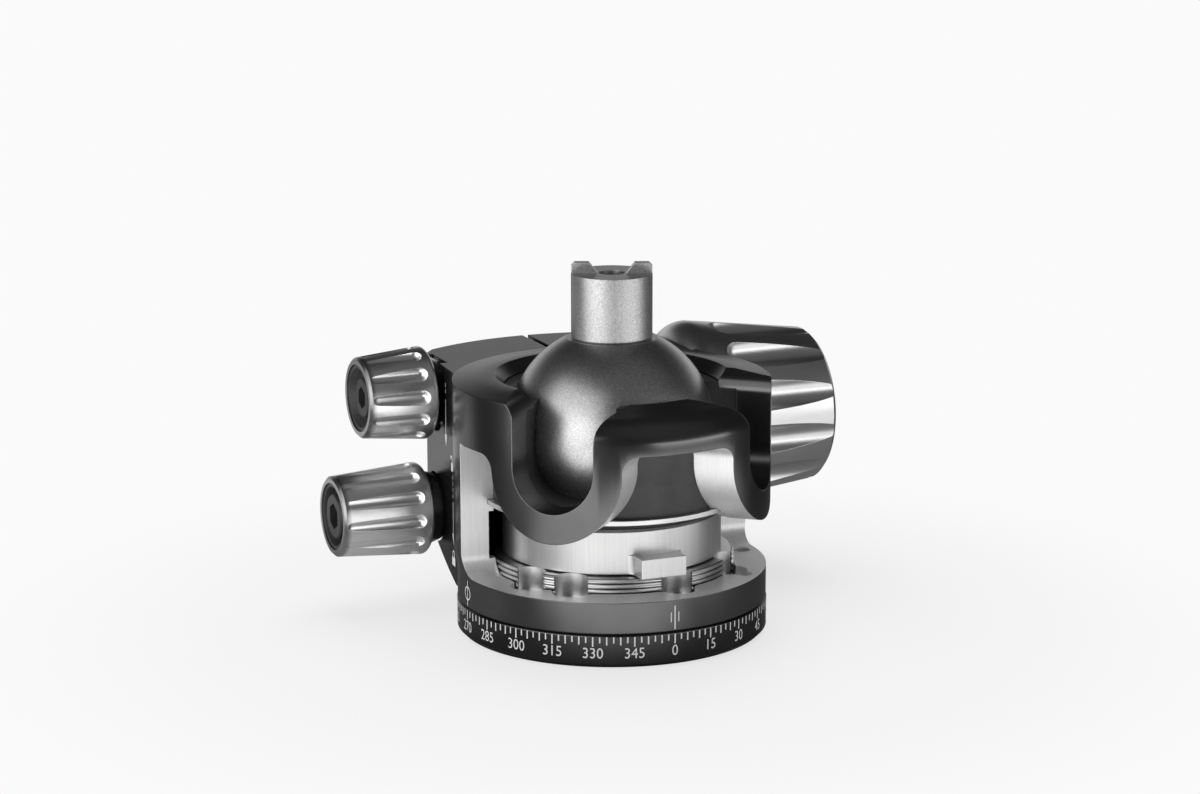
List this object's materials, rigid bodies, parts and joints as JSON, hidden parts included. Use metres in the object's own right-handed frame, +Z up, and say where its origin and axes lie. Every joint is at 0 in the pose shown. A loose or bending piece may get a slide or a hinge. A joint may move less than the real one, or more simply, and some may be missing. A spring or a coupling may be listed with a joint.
{
  "type": "low profile ball head",
  "caption": "Low profile tripod ball head: notched split body clamps a ball with a stem, turns on a graduated pan base, with clamp, friction and pan lock knobs.",
  "frame": {"origin": "centre of the tripod thread at the tripod face, the underside of the pan base", "axes": "+Z up along the pan axis, -Y to the front where the scale's zero is, +X towards the main knob"},
  "size_m": [0.1031, 0.0797, 0.0717],
  "materials": {
    "anodised_black": "satin black anodised",
    "ball_gunmetal": "fine bead-blasted gunmetal anodised",
    "stem_silver": "bead-blasted silver",
    "knob_titanium": "satin titanium grey anodised",
    "bare_aluminium": "turned, bare",
    "black_polymer": "matt, dark",
    "gloss_black": "glossy black",
    "steel": "plain steel",
    "dark_steel": "blackened steel",
    "brass": "turned",
    "rubber": "matt"
  },
  "bodies": {
    "base": {"pan_base": "anodised_black", "tripod_bush": "steel", "pan_spindle": "bare_aluminium", "spindle_screws": "dark_steel", "pan_bearing": "black_polymer"},
    "body": {"housing": "anodised_black", "retaining_ring": "bare_aluminium", "glide_ring": "black_polymer", "brake_ring": "bare_aluminium", "damper_ring": "rubber", "snap_ring": "steel", "lower_cup": "black_polymer", "upper_pads": "black_polymer"},
    "ball": {"ball": "ball_gunmetal"},
    "stem": {"stem": "stem_silver"},
    "main_thrust": {"main_washer": "brass"},
    "main_knob": {"main_knob": "knob_titanium", "main_insert": "black_polymer", "main_screw": "dark_steel"},
    "friction_thrust": {"friction_washer": "brass"},
    "friction_knob": {"friction_knob": "knob_titanium", "friction_insert": "black_polymer", "friction_collar": "gloss_black", "friction_screw": "dark_steel"},
    "pan_thrust": {"pan_washer": "brass"},
    "pan_knob": {"pan_knob": "knob_titanium", "pan_insert": "black_polymer", "pan_collar": "gloss_black", "pan_screw": "dark_steel"},
    "pan_shoe": {"pan_shoe": "brass"}
  },
  "joints": [
    {"name": "pan_turn", "type": "hinge", "parent": "base", "child": "body", "pos_m": [0, 0, 0], "axis": [0, 0, 1], "continuous": true},
    {"name": "ball_tilt", "type": "hinge", "parent": "body", "child": "ball", "pos_m": [0, 0, 0.0391], "axis": [0.7071, -0.7071, 0], "range_deg": [-40, 90]},
    {"name": "ball_spin", "type": "hinge", "parent": "ball", "child": "stem", "pos_m": [0, 0, 0.0391], "axis": [0, 0, 1], "continuous": true},
    {"name": "main_travel", "type": "slide", "parent": "body", "child": "main_thrust", "axis": [1, 0, 0], "range_m": [0, 0.001]},
    {"name": "main_turn", "type": "hinge", "parent": "main_thrust", "child": "main_knob", "pos_m": [0.04, 0.03, 0.0331], "axis": [1, 0, 0], "range_deg": [0, 360]},
    {"name": "friction_travel", "type": "slide", "parent": "body", "child": "friction_thrust", "axis": [-1, 0, 0], "range_m": [0, 0.0012]},
    {"name": "friction_turn", "type": "hinge", "parent": "friction_thrust", "child": "friction_knob", "pos_m": [-0.035, 0.03, 0.0425], "axis": [-1, 0, 0], "range_deg": [0, 540]},
    {"name": "pan_lock_travel", "type": "slide", "parent": "body", "child": "pan_thrust", "axis": [-1, 0, 0], "range_m": [0, 0.001]},
    {"name": "pan_lock_turn", "type": "hinge", "parent": "pan_thrust", "child": "pan_knob", "pos_m": [-0.035, 0.03, 0.0191], "axis": [-1, 0, 0], "range_deg": [0, 360]},
    {"name": "shoe_travel", "type": "slide", "parent": "body", "child": "pan_shoe", "axis": [0, 1, 0], "range_m": [0, 0.0003]}
  ],
  "couplings": [
    {"joint": "main_turn", "follows": "main_travel", "rad_per_m": 6283},
    {"joint": "friction_turn", "follows": "friction_travel", "rad_per_m": 7853},
    {"joint": "pan_lock_turn", "follows": "pan_lock_travel", "rad_per_m": 6283},
    {"joint": "shoe_travel", "follows": "pan_lock_travel", "ratio": 0.3}
  ]
}
